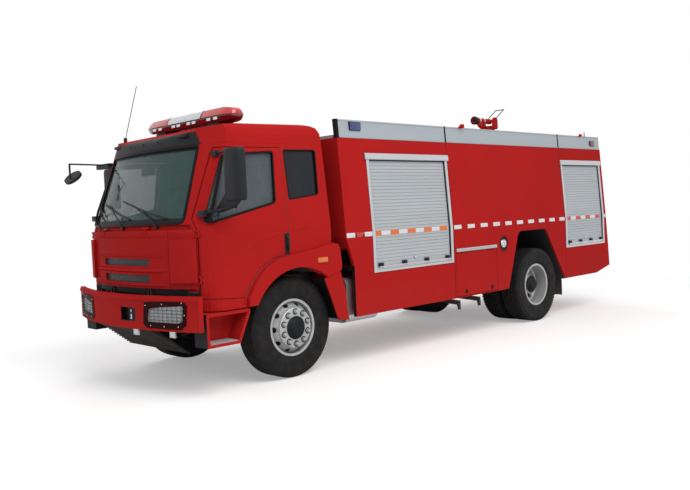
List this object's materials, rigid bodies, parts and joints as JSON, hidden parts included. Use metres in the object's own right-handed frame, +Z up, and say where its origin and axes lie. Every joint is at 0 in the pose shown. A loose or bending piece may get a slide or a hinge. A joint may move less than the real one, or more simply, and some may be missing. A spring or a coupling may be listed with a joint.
{
  "type": "fire pump truck",
  "caption": "Two-axle forward-control fire truck: tilting cab with doors, light bar, superstructure with roller shutters and side lockers, and a roof water monitor.",
  "frame": {"origin": "on the road, midway along the truck and on its centre plane", "axes": "+Y to the rear, so the front faces -Y; +X to the vehicle's left; +Z up"},
  "size_m": [3.1, 8.11, 3.2711],
  "materials": {
    "red_paint": "gloss",
    "chassis_black": "satin",
    "machinery": "matte",
    "bare_alloy": "satin",
    "lamp_lens": "gloss",
    "flap_rubber": "matte",
    "dark_trim": "matte",
    "seat_cloth": "matte",
    "clear_glass": "gloss",
    "red_lens": "gloss",
    "white_lens": "gloss",
    "tyre_rubber": "matte",
    "wheel_silver": "satin"
  },
  "bodies": {
    "chassis": {"chassis_frame": "chassis_black", "cab_mounts": "chassis_black", "front_axle": "chassis_black", "rear_axle": "chassis_black", "leaf_springs": "chassis_black", "engine": "machinery", "propeller_shaft": "machinery", "chassis_tanks": "bare_alloy", "bumper": "red_paint", "lamps": "lamp_lens", "chassis_fenders": "red_paint", "mud_flaps": "flap_rubber", "body_front": "red_paint", "body_tank": "red_paint", "body_rear": "red_paint", "parapets": "bare_alloy", "shutter_frames": "bare_alloy", "shutters": "bare_alloy", "rear_ladder": "bare_alloy", "rear_guard": "chassis_black", "inlet_caps": "bare_alloy", "monitor_base": "red_paint"},
    "cab": {"cab_shell": "red_paint", "cab_roof": "red_paint", "cab_floor": "dark_trim", "windscreen": "clear_glass", "cab_glass": "clear_glass", "corner_panels": "red_paint", "flares": "red_paint", "dashboard": "dark_trim", "seats": "seat_cloth", "steering_wheel": "dark_trim", "lightbar_base": "dark_trim", "lightbar_red": "red_lens", "lightbar_clear": "white_lens", "antenna": "dark_trim"},
    "front_panel": {"front_panel": "red_paint"},
    "door_left": {"door_left": "red_paint", "door_glass_left": "clear_glass", "mirror_left": "dark_trim"},
    "door_right": {"door_right": "red_paint", "door_glass_right": "clear_glass", "mirror_right": "dark_trim"},
    "knuckle_left": {"knuckle_left": "machinery"},
    "knuckle_right": {"knuckle_right": "machinery"},
    "tie_rod": {"tie_rod": "machinery"},
    "wheel_front_left": {"tyre_front_left": "tyre_rubber", "wheel_front_left": "wheel_silver"},
    "wheel_front_right": {"tyre_front_right": "tyre_rubber", "wheel_front_right": "wheel_silver"},
    "wheels_rear_left": {"tyres_rear_left": "tyre_rubber", "wheels_rear_left": "wheel_silver"},
    "wheels_rear_right": {"tyres_rear_right": "tyre_rubber", "wheels_rear_right": "wheel_silver"},
    "monitor_swivel": {"monitor_swivel": "red_paint"},
    "monitor_barrel": {"monitor_barrel": "red_paint"},
    "side_flap_left": {"side_flap_left": "red_paint"},
    "side_flap_right": {"side_flap_right": "red_paint"}
  },
  "joints": [
    {"name": "steer_left", "type": "hinge", "parent": "chassis", "child": "knuckle_left", "pos_m": [0.83, -2.625, 0.525], "axis": [0, 0, 1], "range_deg": [-35, 35]},
    {"name": "steer_right", "type": "hinge", "parent": "chassis", "child": "knuckle_right", "pos_m": [-0.83, -2.625, 0.525], "axis": [0, 0, 1], "range_deg": [-35, 35]},
    {"name": "tie_rod_pivot", "type": "hinge", "parent": "knuckle_left", "child": "tie_rod", "pos_m": [0.83, -2.42, 0.467], "axis": [0, 0, 1], "range_deg": [-35, 35]},
    {"name": "spin_front_left", "type": "hinge", "parent": "knuckle_left", "child": "wheel_front_left", "pos_m": [0.965, -2.625, 0.525], "axis": [1, 0, 0], "continuous": true},
    {"name": "spin_front_right", "type": "hinge", "parent": "knuckle_right", "child": "wheel_front_right", "pos_m": [-0.965, -2.625, 0.525], "axis": [1, 0, 0], "continuous": true},
    {"name": "spin_rear_left", "type": "hinge", "parent": "chassis", "child": "wheels_rear_left", "pos_m": [0.92, 1.875, 0.525], "axis": [1, 0, 0], "continuous": true},
    {"name": "spin_rear_right", "type": "hinge", "parent": "chassis", "child": "wheels_rear_right", "pos_m": [-0.92, 1.875, 0.525], "axis": [1, 0, 0], "continuous": true},
    {"name": "cab_tilt", "type": "hinge", "parent": "chassis", "child": "cab", "pos_m": [0, -3.825, 1], "axis": [1, 0, 0], "range_deg": [0, 45]},
    {"name": "door_left_hinge", "type": "hinge", "parent": "cab", "child": "door_left", "pos_m": [1.072, -3.708, 1.6], "axis": [0, 0, -1], "range_deg": [0, 70]},
    {"name": "door_right_hinge", "type": "hinge", "parent": "cab", "child": "door_right", "pos_m": [-1.072, -3.708, 1.6], "axis": [0, 0, 1], "range_deg": [0, 70]},
    {"name": "front_panel_hinge", "type": "hinge", "parent": "cab", "child": "front_panel", "pos_m": [0, -3.9, 1.628], "axis": [-1, 0, 0], "range_deg": [0, 70]},
    {"name": "side_flap_left_hinge", "type": "hinge", "parent": "chassis", "child": "side_flap_left", "pos_m": [1.24, 0.425, 1.11], "axis": [0, -1, 0], "range_deg": [0, 85]},
    {"name": "side_flap_right_hinge", "type": "hinge", "parent": "chassis", "child": "side_flap_right", "pos_m": [-1.24, 0.425, 1.11], "axis": [0, 1, 0], "range_deg": [0, 85]},
    {"name": "monitor_swing", "type": "hinge", "parent": "chassis", "child": "monitor_swivel", "pos_m": [0, 2.615, 2.9], "axis": [0, 0, 1], "continuous": true},
    {"name": "monitor_elevation", "type": "hinge", "parent": "monitor_swivel", "child": "monitor_barrel", "pos_m": [0, 2.585, 3.03], "axis": [-1, 0, 0], "range_deg": [-20, 70]}
  ],
  "couplings": [
    {"joint": "steer_right", "follows": "steer_left", "ratio": 1},
    {"joint": "tie_rod_pivot", "follows": "steer_left", "ratio": -1}
  ]
}
